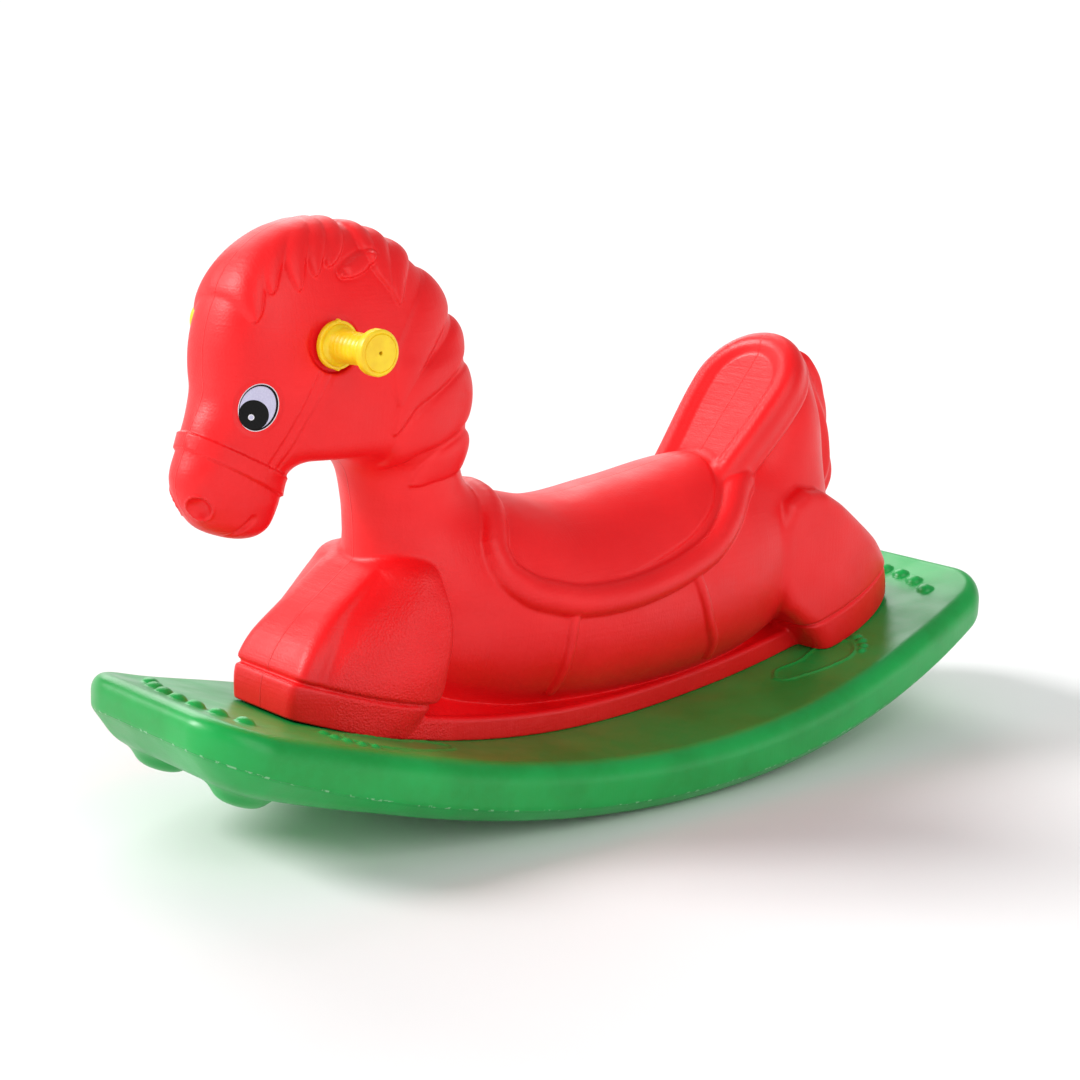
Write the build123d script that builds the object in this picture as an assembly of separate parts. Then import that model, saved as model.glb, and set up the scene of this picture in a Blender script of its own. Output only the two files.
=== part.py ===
from build123d import *
import os
from math import asin, cos, degrees, hypot, radians, sin

# A child's rocking horse of two hollow blow-moulded shells, in millimetres.
# +X is the way the horse faces, +Y is its left, +Z is up.
# The origin is on the floor under the middle of the rocker.

# --- Rocker: a curved hollow board --------------------------------------------------
ROCKER_LENGTH = 832.0
ROCKER_MID_WIDTH = 296.0
ROCKER_END_WIDTH = 190.0
ROCKER_CORNER = 42.0
ROCK_RADIUS = 1105.0
ROCKER_THICKNESS = 47.0
TOP_EDGE_RADIUS = 16.0
PARTING_HEIGHT = 13.5
ROCKER_WALL = 3.0
STOP_X, STOP_Y = 367.0, 50.0
STOP_RADIUS, STOP_DROP, STOP_ROOT = 27.0, 19.0, 6.0
BUMP_PITCH, BUMP_RADIUS, BUMP_HEIGHT = 20.0, 7.5, 4.5
BUMP_ROW_X, BUMP_ROW_BOW = 378.0, 0.0043
BUMPS_EACH_SIDE = 3

# --- Horse shell ----------------------------------------------------------------------
HORSE_WALL = 3.0
FLANGE_THICKNESS = 20.0
FLANGE_FRONT_X, FLANGE_REAR_X = 240.0, -300.0
FLANGE_FRONT_HALF, FLANGE_REAR_HALF = 64.0, 30.0
BACKREST_HALF_WIDTH, BACKREST_LENGTH = 54.0, 150.0
BACKREST_THICKNESS, BACKREST_LEAN = 28.0, 40.0
BACKREST_FOOT = (-112.0, 0.0, 226.0)

# --- Handlebar ------------------------------------------------------------------------
BAR_X, BAR_Z = 296.0, 366.0
BORE_RADIUS = 11.5
JOURNAL_CLEARANCE = 0.08
BAR_TUNNEL_WALL = 3.0
POCKET_RADIUS, POCKET_FLOOR_Y = 20.0, 54.0
COLLAR_RADIUS, COLLAR_THICKNESS = 17.0, 5.0
GRIP_RADIUS, GRIP_RIB = 10.8, 0.5
KNOB_RADIUS, KNOB_THICKNESS = 16.2, 8.0
KNOB_FACE_Y = 108.0
KNOB_HOLE_RADIUS = 1.3
TUBE_RADIUS, TUBE_WALL, TUBE_HALF_LENGTH = 9.0, 1.5, 40.0
PLUG_DEPTH = 14.0

# --- Fasteners that hold the horse to the rocker ----------------------------------
SCREW_PLACES = {"front_left": (180, 32), "front_right": (180, -32),
                "rear_left": (-170, 24), "rear_right": (-170, -24)}
WELL_MOUTH_RADIUS, WELL_SEAT_RADIUS, WEB_THICKNESS = 17.0, 11.5, 5.0
SCREW_RADIUS, SCREW_LENGTH = 2.4, 22.0
SCREW_HEAD_RADIUS, SCREW_HEAD_HEIGHT = 5.0, 3.2
WASHER_RADIUS, WASHER_THICKNESS = 9.0, 1.4
BOSS_RADIUS, BOSS_HEIGHT = 8.0, 17.0
HOLE_PLAY = 0.3

DECK_RADIUS = ROCK_RADIUS - ROCKER_THICKNESS
# Lengths that only have to reach past the part: to the sides, upwards, and out of the head
PAST_SIDES, PAST_TOP, PAST_HEAD = 500.0, 250.0, 90.0
ARC_AXIS = Axis((0, 0, ROCK_RADIUS), (0, 1, 0))


def arc_disc(radius):
    """Cylinder about the rocking centre, wider than the horse."""
    return Pos(0, 0, ROCK_RADIUS) * Rot(90, 0, 0) * Cylinder(radius, PAST_SIDES)


def along_arc(shape, x):
    """Swing a shape that was made at x = 0 along the rocker to x."""
    return shape.rotate(ARC_AXIS, -degrees(asin(x / ROCK_RADIUS)))


def upright(radius, z_low, z_high, top_radius=None):
    """Upright cylinder or cone between two heights at x = y = 0."""
    height = z_high - z_low
    if top_radius is None:
        body = Cylinder(radius, height)
    else:
        body = Cone(radius, top_radius, height)
    return Pos(0, 0, (z_low + z_high) / 2) * body


def ellipsoid(centre, radii):
    """Ball scaled to three radii."""
    return Pos(*centre) * scale(Sphere(1), by=radii)


def level_loft(sections, inset):
    """Loft through level ellipses given as (z, centre x, half length, half width)."""
    faces = []
    last = len(sections) - 1
    for index, (z, x, half_x, half_y) in enumerate(sections):
        trim = inset if index == 0 else -inset if index == last else 0
        faces.append(Pos(x, 0, z + trim) * Ellipse(half_x - inset, half_y - inset))
    return loft(faces)


def leg_loft(sections, inset):
    """Loft through level six-sided sections with rounded corners."""
    faces = []
    last = len(sections) - 1
    for index, (z, rear, wide, front, rear_half, wide_half, front_half) in enumerate(sections):
        trim = inset if index == 0 else -inset if index == last else 0
        left = [(rear + inset, rear_half - inset), (wide, wide_half - inset),
                (front - inset, front_half - inset)]
        right = [(x, -y) for x, y in reversed(left)]
        face = make_face(Polyline(*left, *right, close=True))
        face = fillet(face.vertices(), LEG_CORNER)
        faces.append(Pos(0, 0, z + trim) * face)
    return loft(faces)


def trunk_loft(sections, inset):
    """Loft through upright ellipses given as (x, low z, high z, half width)."""
    faces = []
    last = len(sections) - 1
    for index, (x, low, high, half_y) in enumerate(sections):
        trim = inset if index == 0 else -inset if index == last else 0
        plane = Plane(origin=(x + trim, 0, (low + high) / 2), x_dir=(0, 1, 0), z_dir=(1, 0, 0))
        faces.append(plane * Ellipse(half_y - inset, (high - low) / 2 - inset))
    return loft(faces)


def rocker_plan(inset):
    """Plan of the rocker: bowed long sides, straight ends, rounded corners."""
    half_length = ROCKER_LENGTH / 2 - inset
    end = ROCKER_END_WIDTH / 2 - inset
    middle = ROCKER_MID_WIDTH / 2 - inset
    left = ThreePointArc((-half_length, end), (0, middle), (half_length, end))
    front = Line((half_length, end), (half_length, -end))
    right = ThreePointArc((half_length, -end), (0, -middle), (-half_length, -end))
    rear = Line((-half_length, -end), (-half_length, end))
    face = make_face([left, front, right, rear])
    return fillet(face.vertices(), ROCKER_CORNER - inset)


def edges_at(shape, radius):
    """Edges whose middle lies at a radius from the rocking centre."""
    found = []
    for edge in shape.edges():
        middle = edge.position_at(0.5)
        if abs(hypot(middle.X, middle.Z - ROCK_RADIUS) - radius) < 0.4:
            found.append(edge)
    return found


def rocker_form(inset):
    """Outer skin of the rocker, or the space inside it."""
    low = ROCK_RADIUS - inset
    high = DECK_RADIUS + inset
    slab = extrude(rocker_plan(inset), PAST_TOP) & arc_disc(low)
    slab = slab - arc_disc(high)
    slab = fillet(edges_at(slab, high), TOP_EDGE_RADIUS - inset)
    slab = chamfer(edges_at(slab, low), PARTING_HEIGHT - 0.4 * inset)
    for end in (1, -1):
        for side in (1, -1):
            reach = STOP_DROP + STOP_ROOT - inset
            radii = (STOP_RADIUS - inset, STOP_RADIUS - inset, reach)
            stop = ellipsoid((0, side * STOP_Y, STOP_ROOT), radii)
            slab = slab + along_arc(stop, end * STOP_X)
    return slab


def deck_bumps():
    """Bowed row of low domes across each end of the deck."""
    dome = ellipsoid((0, 0, ROCKER_THICKNESS - 1), (BUMP_RADIUS, BUMP_RADIUS, BUMP_HEIGHT + 1))
    bumps = []
    for end in (1, -1):
        for step in range(-BUMPS_EACH_SIDE, BUMPS_EACH_SIDE + 1):
            y = step * BUMP_PITCH
            deck_x = end * (BUMP_ROW_X - BUMP_ROW_BOW * y * y)
            x = deck_x * ROCK_RADIUS / DECK_RADIUS
            bumps.append(along_arc(Pos(0, y, 0) * dome, x))
    return bumps


def at_screw(shape, place):
    """Put a shape made at the origin at one of the screw places."""
    x, y = SCREW_PLACES[place]
    return along_arc(Pos(0, y, 0) * shape, x)


SEAT_Z = ROCKER_THICKNESS - WEB_THICKNESS


def rocker_base():
    shell = rocker_form(0) + deck_bumps() - rocker_form(ROCKER_WALL)
    well = upright(WELL_MOUTH_RADIUS + ROCKER_WALL, 1, ROCKER_THICKNESS - 1,
                   WELL_SEAT_RADIUS + ROCKER_WALL)
    hollow = upright(WELL_MOUTH_RADIUS, -5, SEAT_Z, WELL_SEAT_RADIUS)
    hole = upright(SCREW_RADIUS + HOLE_PLAY, 0, ROCKER_THICKNESS + 5)
    for place in SCREW_PLACES:
        shell = shell + at_screw(well, place)
    for place in SCREW_PLACES:
        shell = shell - at_screw(hollow, place) - at_screw(hole, place)
    return shell


# Level ellipses: (z, centre x, half length, half width)
SKULL = [(284, 262, 66, 38), (296, 258, 92, 48), (315, 258, 108, 55), (335, 260, 111, 57),
         (355, 262, 109, 57.5), (375, 264, 98, 56), (395, 267, 88, 52), (415, 271, 76, 43),
         (432, 274, 55, 31), (442, 278, 34, 20), (447, 280, 12, 8)]
MUZZLE = [(226, 335, 14, 13), (234, 341, 25, 22), (248, 345, 36, 29), (268, 346, 43, 34),
          (292, 333, 51, 39), (320, 311, 63, 46), (345, 292, 62, 46)]
NECK = [(180, 165, 66, 70), (210, 178, 62, 56), (236, 188, 53, 46), (266, 195, 51, 45),
        (300, 207, 58, 47), (335, 228, 67, 50)]
REAR_LEGS = [(62, -290, 62, 52), (95, -277, 75, 62), (125, -252, 83, 69), (145, -235, 75, 68),
             (165, -221, 63, 62), (185, -207, 48, 54), (205, -202, 32, 40), (216, -203, 18, 24)]
RUMP = [(170, -212, 62, 52), (225, -204, 58, 48), (275, -212, 40, 40), (312, -218, 20, 26)]
TAIL = [(188, -272, 14, 12), (206, -268, 20, 15), (240, -256, 20, 17), (280, -248, 24, 17),
        (304, -240, 22, 16), (322, -228, 14, 12)]
# Upright ellipses: (x, low z, high z, half width)
TRUNK = [(228, 112, 198, 50), (190, 82, 226, 70), (130, 66, 237, 80), (60, 60, 226, 84),
         (-20, 58, 233, 83), (-100, 62, 244, 78), (-160, 72, 243, 68), (-220, 96, 226, 50)]
# Level hexagons: (z, rear x, widest x, front x, rear half, widest half, front half)
FRONT_LEGS = [(62, 214, 262, 308, 58, 70, 36), (96, 205, 250, 312, 64, 76, 38),
              (124, 198, 238, 309, 69, 82, 39), (141, 196, 234, 300, 71, 82, 36),
              (162, 197, 230, 283, 71, 79, 31), (183, 201, 220, 261, 64, 72, 30),
              (198, 203, 221, 250, 56, 62, 31), (209, 206, 222, 242, 38, 44, 30)]
LEG_CORNER = 9.0


def flange(inset):
    """Curved base that follows the deck, narrower at the rear."""
    front, rear = FLANGE_FRONT_X - inset, FLANGE_REAR_X + inset
    front_half, rear_half = FLANGE_FRONT_HALF - inset, FLANGE_REAR_HALF - inset
    plan = make_face(Polyline((front, front_half), (front, -front_half), (rear, -rear_half),
                              (rear, rear_half), close=True))
    prism = extrude(plan, PAST_TOP)
    return prism & arc_disc(DECK_RADIUS - inset) - arc_disc(DECK_RADIUS - FLANGE_THICKNESS + inset)


def backrest(inset):
    """Round-topped slab that leans back from the rear of the seat."""
    plane = Plane(origin=BACKREST_FOOT, x_dir=(0, 1, 0), z_dir=(cos(radians(BACKREST_LEAN)), 0,
                                                                sin(radians(BACKREST_LEAN))))
    half = BACKREST_HALF_WIDTH - inset
    straight = BACKREST_LENGTH - BACKREST_HALF_WIDTH
    outline = Pos(0, straight / 2) * Rectangle(2 * half, straight) + Pos(0, straight) * Circle(half)
    depth = BACKREST_THICKNESS - 2 * inset
    slab = extrude(outline, depth)
    slab = fillet(slab.edges().filter_by(GeomType.CIRCLE), 0.36 * depth)
    return plane * Pos(0, 0, -BACKREST_THICKNESS + inset) * slab


def head_form(inset):
    """Round skull with the muzzle hanging from its front."""
    return level_loft(SKULL, inset) + level_loft(MUZZLE, inset)


def horse_form(inset):
    """Outer skin of the horse, or the space inside it."""
    form = head_form(inset) + level_loft(NECK, inset) + trunk_loft(TRUNK, inset)
    legs = leg_loft(FRONT_LEGS, inset) + level_loft(REAR_LEGS, inset)
    form = form + (legs & arc_disc(DECK_RADIUS - inset)) + flange(inset)
    return form + level_loft(RUMP, inset) + backrest(inset) + level_loft(TAIL, inset)


def across(radius, y_low, y_high):
    """Cylinder on the handlebar's axis between two y values."""
    middle = (y_low + y_high) / 2
    return Pos(BAR_X, middle, BAR_Z) * Rot(90, 0, 0) * Cylinder(radius, y_high - y_low)


def horse_body():
    shell = horse_form(0) - horse_form(HORSE_WALL)
    floor_back = POCKET_FLOOR_Y - HORSE_WALL
    tunnel = across(POCKET_RADIUS + HORSE_WALL, -PAST_HEAD, PAST_HEAD)
    tunnel = tunnel - across(POCKET_RADIUS + 2 * HORSE_WALL, -floor_back, floor_back)
    sleeve = across(BORE_RADIUS + BAR_TUNNEL_WALL, -POCKET_FLOOR_Y, POCKET_FLOOR_Y)
    shell = shell + (tunnel & level_loft(SKULL, 0)) + sleeve
    shell = shell - across(BORE_RADIUS, -PAST_HEAD, PAST_HEAD)
    for side in (1, -1):
        ends = sorted((side * POCKET_FLOOR_Y, side * PAST_HEAD))
        shell = shell - across(POCKET_RADIUS, *ends)
    boss = upright(BOSS_RADIUS, ROCKER_THICKNESS + 1, ROCKER_THICKNESS + BOSS_HEIGHT)
    pilot = upright(SCREW_RADIUS, ROCKER_THICKNESS - 5, SEAT_Z + SCREW_LENGTH)
    for place in SCREW_PLACES:
        shell = shell + at_screw(boss, place)
    for place in SCREW_PLACES:
        shell = shell - at_screw(pilot, place)
    return shell


def handle(side):
    """Collar, ribbed grip and stepped knob, with a spigot that plugs into the tube."""
    outline = [
        (0, TUBE_HALF_LENGTH - PLUG_DEPTH),
        (TUBE_RADIUS - TUBE_WALL, TUBE_HALF_LENGTH - PLUG_DEPTH),
        (TUBE_RADIUS - TUBE_WALL, TUBE_HALF_LENGTH),
        (BORE_RADIUS - JOURNAL_CLEARANCE, TUBE_HALF_LENGTH),
        (BORE_RADIUS - JOURNAL_CLEARANCE, POCKET_FLOOR_Y + 0.5),
        (COLLAR_RADIUS, POCKET_FLOOR_Y + 0.5),
        (COLLAR_RADIUS, POCKET_FLOOR_Y + COLLAR_THICKNESS),
        (COLLAR_RADIUS - 3, POCKET_FLOOR_Y + COLLAR_THICKNESS + 1.5),
        (GRIP_RADIUS, POCKET_FLOOR_Y + COLLAR_THICKNESS + 1.5),
        (GRIP_RADIUS, KNOB_FACE_Y - KNOB_THICKNESS),
        (KNOB_RADIUS, KNOB_FACE_Y - KNOB_THICKNESS + 1),
        (KNOB_RADIUS, KNOB_FACE_Y - 2),
        (KNOB_RADIUS - 2, KNOB_FACE_Y),
        (0, KNOB_FACE_Y),
    ]
    points = [(radius, side * y) for radius, y in outline]
    body = revolve(make_face(Polyline(*points, close=True)), Axis.Y)
    ribs = 5
    rib_start = POCKET_FLOOR_Y + COLLAR_THICKNESS + 6
    rib_pitch = (KNOB_FACE_Y - KNOB_THICKNESS - rib_start) / ribs
    for rib in range(ribs):
        y = side * (rib_start + (rib + 0.4) * rib_pitch)
        ring = Pos(0, y, 0) * Rot(90, 0, 0) * Cylinder(GRIP_RADIUS + GRIP_RIB, 0.35 * rib_pitch)
        body = body + ring
    vent = Pos(0, side * KNOB_FACE_Y, 0) * Rot(90, 0, 0) * Cylinder(KNOB_HOLE_RADIUS, 12)
    return Pos(BAR_X, 0, BAR_Z) * (body - vent)


def handle_tube():
    tube = across(TUBE_RADIUS, -TUBE_HALF_LENGTH, TUBE_HALF_LENGTH)
    return tube - across(TUBE_RADIUS - TUBE_WALL, -PAST_HEAD, PAST_HEAD)


EYE_X, EYE_Z = 323.0, 324.0
EYE_FORWARD, EYE_SIDEWAYS = 0.56, 0.83
EYE_HALF_LONG, EYE_HALF_SHORT, EYE_SLANT = 17.0, 13.5, 20.0
DECAL_THICKNESS = 0.35


def eye_decal(side):
    """Thin oval sticker wrapped on the side of the head."""
    facing = Plane(origin=(EYE_X, 0, EYE_Z), x_dir=(-side * EYE_SIDEWAYS, EYE_FORWARD, 0),
                   z_dir=(EYE_FORWARD, side * EYE_SIDEWAYS, 0))
    oval = Rot(0, 0, -side * EYE_SLANT) * Ellipse(EYE_HALF_SHORT, EYE_HALF_LONG)
    cutter = facing * extrude(oval, PAST_HEAD)
    return (head_form(-DECAL_THICKNESS) & cutter) - head_form(0)


def screw(place):
    head = upright(SCREW_HEAD_RADIUS, SEAT_Z - WASHER_THICKNESS - SCREW_HEAD_HEIGHT,
                   SEAT_Z - WASHER_THICKNESS)
    shank = upright(SCREW_RADIUS, SEAT_Z - WASHER_THICKNESS - 1, SEAT_Z + SCREW_LENGTH)
    return at_screw(head + shank, place)


def washer(place):
    ring = upright(WASHER_RADIUS, SEAT_Z - WASHER_THICKNESS, SEAT_Z)
    return at_screw(ring - upright(SCREW_RADIUS + HOLE_PLAY, 0, SEAT_Z + 1), place)


def main():
    nodes = {
        "rocker_base": rocker_base(),
        "horse_body": horse_body(),
        "handle_left": handle(1),
        "handle_right": handle(-1),
        "handle_tube": handle_tube(),
        "eye_decal_left": eye_decal(1),
        "eye_decal_right": eye_decal(-1),
    }
    for place in SCREW_PLACES:
        nodes["base_screw_" + place] = screw(place)
        nodes["base_washer_" + place] = washer(place)
    os.makedirs("parts", exist_ok=True)
    for name, shape in nodes.items():
        export_step(shape, "parts/" + name + ".step")
    return nodes


main()
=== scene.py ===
import bmesh
import bpy
import numpy as np
from concurrent.futures import ThreadPoolExecutor
from math import asin, atan2, cos, pi, radians, sin
from mathutils import Matrix, Vector


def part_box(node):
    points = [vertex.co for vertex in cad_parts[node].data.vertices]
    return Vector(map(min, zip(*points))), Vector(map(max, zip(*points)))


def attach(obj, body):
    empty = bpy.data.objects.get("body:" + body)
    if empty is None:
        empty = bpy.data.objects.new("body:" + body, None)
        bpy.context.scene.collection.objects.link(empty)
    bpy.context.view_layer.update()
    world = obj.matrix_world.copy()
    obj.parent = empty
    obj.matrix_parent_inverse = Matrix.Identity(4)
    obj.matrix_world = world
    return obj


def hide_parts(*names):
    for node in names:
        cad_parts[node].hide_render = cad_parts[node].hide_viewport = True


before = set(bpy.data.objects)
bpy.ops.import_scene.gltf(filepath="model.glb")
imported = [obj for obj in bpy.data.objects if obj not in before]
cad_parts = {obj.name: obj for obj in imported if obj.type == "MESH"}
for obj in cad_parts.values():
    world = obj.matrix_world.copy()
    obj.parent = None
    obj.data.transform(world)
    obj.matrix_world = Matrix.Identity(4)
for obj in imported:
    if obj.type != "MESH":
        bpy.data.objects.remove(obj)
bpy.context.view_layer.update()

# --- Sizes in millimetres, in the frame of the CAD part ---
MM = 0.001
ROCK_RADIUS = 1105.0
DECK_RADIUS = 1058.0
END_OVERHANG = 2.0
ROCKER_CAD_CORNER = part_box("rocker_base")[1]
ROCKER_HALF_LENGTH = round(ROCKER_CAD_CORNER.x / MM) + END_OVERHANG
ROCKER_HALF_WIDTH = float(round(ROCKER_CAD_CORNER.y / MM))
ROCKER_END_HALF = 97.0
END_DROOP, DROOP_START_X, DROOP_REACH = 6.5, 270.0, 140.0
ROCKER_CORNER, ROCKER_TOP_EDGE = 42.0, 16.0
PARTING_HEIGHT, BOTTOM_INSET = 13.5, 14.0
STOP_X, STOP_Y, STOP_RADIUS, STOP_DROP = 367.0, 50.0, 27.0, 19.0
# The row of bumps at the front end (1) and at the rear end (-1)
BUMP_ROW_X, BUMP_ROW_BOW, BUMP_PITCH, BUMPS_EACH_SIDE = {1: 386.0, -1: 378.0}, 0.0043, 20.0, 3
BUMP_RADIUS, BUMP_HEIGHT = 7.5, 5.5
SCREW_PLACES = [(180.0, 32.0), (-170.0, 24.0)]
WELL_MOUTH_RADIUS, WELL_TAPER, WELL_DEPTH = 17.0, 5.5, 42.0


def middle(node_name):
    """Middle of a CAD node in millimetres, rounded to a tenth."""
    low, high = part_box(node_name)
    return [round((low[k] + high[k]) / 2 / MM, 1) for k in range(3)]


BAR_X, _, BAR_Z = middle("handle_tube")
POCKET_RADIUS, POCKET_FLOOR_Y = 20.0, 51.0
EYE_X, EYE_Y, EYE_Z = 346.0, 34.0, 324.0
EYE_FORWARD, EYE_SIDEWAYS, EYE_SLANT = 0.56, 0.83, radians(20)

SKULL_X, SKULL_Z, SKULL_LEAN = 260.5, 335.0, 0.15
SKULL_RADII = (108.0, 57.0, 111.0)
SKULL_SQUARENESS = 2.7
JAW_Z = 281.0
# Level ellipses: (z, centre x, half length, half width)
MUZZLE = [(225, 337, 14, 13), (233, 343, 26, 22), (248, 347, 37, 29), (268, 348, 43, 34),
          (292, 333, 51, 39), (320, 310, 62, 46), (345, 290, 60, 46)]
NECK = [(180, 163, 64, 60), (210, 176, 60, 50), (236, 188, 51, 45), (266, 198, 48, 45),
        (300, 211, 54, 47), (335, 231, 64, 50)]
RUMP = [(170, -212, 62, 52), (225, -204, 58, 48), (275, -212, 40, 40), (312, -218, 20, 26)]
TAIL = [(190, -268, 16, 10), (206, -264, 22, 15), (240, -254, 24, 17), (280, -250, 26, 16),
        (304, -246, 22, 14), (322, -236, 12, 9)]
# Upright ellipses: (x, low z, high z, half width)
TRUNK = [(228, 112, 196, 42), (190, 82, 224, 64), (130, 66, 238, 80), (60, 60, 227, 84),
         (-20, 58, 232, 83), (-100, 62, 243, 78), (-160, 72, 243, 68), (-220, 96, 226, 50)]
# Level hexagons: (z, rear x, widest x, front x, rear half, widest half, front half)
FRONT_LEGS = [(60, 240, 268, 311, 60, 69, 37), (80, 219, 258, 314, 65, 74, 39),
              (98, 201, 248, 316, 69, 78, 40), (124, 197, 236, 313, 74, 85, 41),
              (141, 195, 232, 304, 76, 85, 38), (162, 196, 228, 284, 76, 83, 31),
              (183, 199, 219, 256, 70, 77, 29), (199, 202, 216, 235, 60, 66, 28),
              (208, 206, 215, 224, 44, 49, 25)]
REAR_LEG_SIDE = [(-235, 40), (-222, 72), (-205, 92), (-178, 112), (-162, 135), (-158, 160),
                 (-160, 186), (-172, 207), (-193, 216), (-218, 212), (-242, 199), (-269, 181),
                 (-301, 161), (-327, 140), (-346, 120), (-355, 104), (-354, 60), (-341, 40)]
FLANGE_HALF = [(-300, 34), (-162, 37), (-86, 40), (-6, 47), (91, 57), (157, 62), (240, 65)]
FLANGE_THICKNESS = 18.0
APRON_SLOPE, APRON_INSET, APRON_WIDTH = 0.62, 8.0, 32.0
# Radius from the rocker's centre of each groove between leg and hoof
FRONT_HOOF_SEAM, REAR_HOOF_SEAM = 1030.5, 1030.0
REAR_LEG_HALF, REAR_LEG_TAPER_X, REAR_LEG_TAPER_LENGTH = 68.0, -228.0, 132.0
BACKREST_FOOT_X, BACKREST_FOOT_Z, BACKREST_LEAN = -110.0, 226.0, radians(40)
BACKREST_HALF, BACKREST_LENGTH, BACKREST_THICKNESS = 54.0, 150.0, 28.0

# Saddle rim, seat and girth straps, as (x, turn around the trunk from its top in degrees)
RIM_RADIUS, STRAP_RADIUS, UNROLL_RADIUS = 12.8, 5.0, 85.0
SADDLE_RIM = [(127, 0), (131, 18), (142, 37), (150, 52), (148, 63), (133, 73), (99, 79), (58, 79),
              (14, 77.5), (-34, 73), (-73, 66), (-101, 54), (-120, 42), (-132, 36)]
SEAT_EDGE = [(114, 0), (113, 14), (122, 30), (130, 45), (131, 58), (124, 67), (104, 72), (66, 71.5),
             (20, 69), (-20, 64), (-58, 57), (-84, 47), (-102, 32), (-112, 17), (-116, 0)]
GIRTH_FRONT = [(87, 84), (89, 96), (89, 106), (88, 120), (87, 136)]
GIRTH_REAR = [(-44, 76), (-54, 90), (-68, 108), (-84, 124), (-90, 136)]

# Mane and forelock locks on the side of the head: (half width at the root, spine in x and z)
LOCKS = [
    (21, [(332, 444), (360, 422), (376, 402), (382, 386)]),
    (13, [(320, 447), (338, 430), (349, 410), (351, 384)]),
    (10, [(308, 449), (325, 435), (334, 420), (338, 402)]),
    (9, [(296, 450), (308, 437), (316, 422), (319, 404)]),
    (8, [(284, 451), (291, 440), (299, 427), (304, 413)]),
    (8, [(271, 451), (276, 440), (283, 430), (292, 419)]),
    (8, [(248, 448), (251, 436), (250, 424), (247, 408)]),
    (9, [(232, 441), (240, 430), (243, 418), (243, 402)]),
    (10, [(215, 430), (226, 420), (234, 408), (237, 392)]),
    (17, [(186, 398), (203, 385), (221, 366), (236, 346), (242, 322)]),
    (12, [(166, 366), (188, 350), (211, 337), (233, 322), (243, 300)]),
    (20, [(158, 322), (182, 314), (205, 304), (226, 292), (236, 274)]),
    (14, [(160, 278), (182, 274), (203, 267), (215, 258)]),
]


# --- Tools for solid shapes given as distance to their surface ---
def smooth_min(a, b, k):
    """Union of two distance fields with a fillet about k wide."""
    h = np.maximum(k - np.abs(a - b), 0.0)
    return np.minimum(a, b) - h * h / (4.0 * k)


def smooth_max(a, b, k):
    """Overlap of two distance fields with an edge rounded over about k."""
    return -smooth_min(-a, -b, k)


def round_corner(a, b, radius):
    """Overlap of two distance fields with an edge of an exact radius."""
    u, v = a + radius, b + radius
    outside = np.hypot(np.maximum(u, 0.0), np.maximum(v, 0.0))
    return np.minimum(np.maximum(u, v), 0.0) + outside - radius


def step_up(value, width):
    """0 below zero, 1 above width, smooth between."""
    t = np.clip(value / width, 0.0, 1.0)
    return t * t * (3.0 - 2.0 * t)


def spline_table(rows, step=1.0):
    """Smooth curve through rows of (position, value, ...), in small even steps of position."""
    rows = np.array(rows, float)
    rows = rows[np.argsort(rows[:, 0], kind="stable")]
    t = rows[:, 0]
    slope = np.gradient(rows[:, 1:], t, axis=0)
    fine = np.arange(t[0], t[-1] + step / 2, step)
    i = np.clip(np.searchsorted(t, fine, side="right") - 1, 0, len(t) - 2)
    h = (t[i + 1] - t[i])[:, None]
    u = (fine - t[i])[:, None] / h
    end = u * u * (3.0 - 2.0 * u)
    pull = slope[i] * h * u * (1 - u) ** 2 - slope[i + 1] * h * u * u * (1 - u)
    return np.column_stack([fine, rows[i, 1:] * (1 - end) + rows[i + 1, 1:] * end + pull])


def look_up(table, at):
    return [np.interp(at, table[:, 0], column) for column in table[:, 1:].T]


def smooth_line(points, pieces):
    """Points of a smooth open line through a few given points, as many as asked for."""
    points = np.array(points, float)
    span = np.hypot(*np.diff(points[:, :2], axis=0).T)
    along = np.concatenate([[0.0], np.cumsum(span)])
    table = spline_table(np.column_stack([along, points]), along[-1] / pieces)
    return table[:, 1:]


def ellipse(u, v, a, b):
    k0 = np.maximum(np.hypot(u / a, v / b), 1e-4)
    k1 = np.maximum(np.hypot(u / (a * a), v / (b * b)), 1e-6)
    return k0 * (k0 - 1) / k1


def ellipsoid(x, y, z, a, b, c):
    k0 = np.maximum(np.sqrt((x / a) ** 2 + (y / b) ** 2 + (z / c) ** 2), 1e-4)
    k1 = np.maximum(np.sqrt((x / a**2) ** 2 + (y / b**2) ** 2 + (z / c**2) ** 2), 1e-6)
    return k0 * (k0 - 1) / k1


def squarish_ball(x, y, z, a, b, c, power):
    """Ball with three radii whose level sections are fuller than ellipses."""
    level = (np.abs(x / a) ** power + np.abs(y / b) ** power) ** (2.0 / power)
    k0 = np.maximum(np.sqrt(level + (z / c) ** 2), 1e-4)
    k1 = np.maximum(np.sqrt((x / a**2) ** 2 + (y / b**2) ** 2 + (z / c**2) ** 2), 1e-6)
    return k0 * (k0 - 1) / k1


def level_stack(x, y, z, table, soft):
    """Body through level ellipses, closed top and bottom."""
    centre, a, b = look_up(table, z)
    ends = np.maximum(table[0, 0] - z, z - table[-1, 0])
    return smooth_max(ellipse(x - centre, y, a, b), ends, soft)


def trunk_stack(x, y, z, table, soft):
    """Body through upright ellipses, closed front and rear."""
    low, high, half = look_up(table, x)
    ends = np.maximum(table[0, 0] - x, x - table[-1, 0])
    return smooth_max(ellipse(y, z - (low + high) / 2, half, (high - low) / 2), ends, soft)


def beside(x, y, ax, ay, bx, by):
    """Distance to the plan line from a to b, positive on its left."""
    nx, ny = ay - by, bx - ax
    return ((x - ax) * nx + (y - ay) * ny) / np.hypot(nx, ny)


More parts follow.
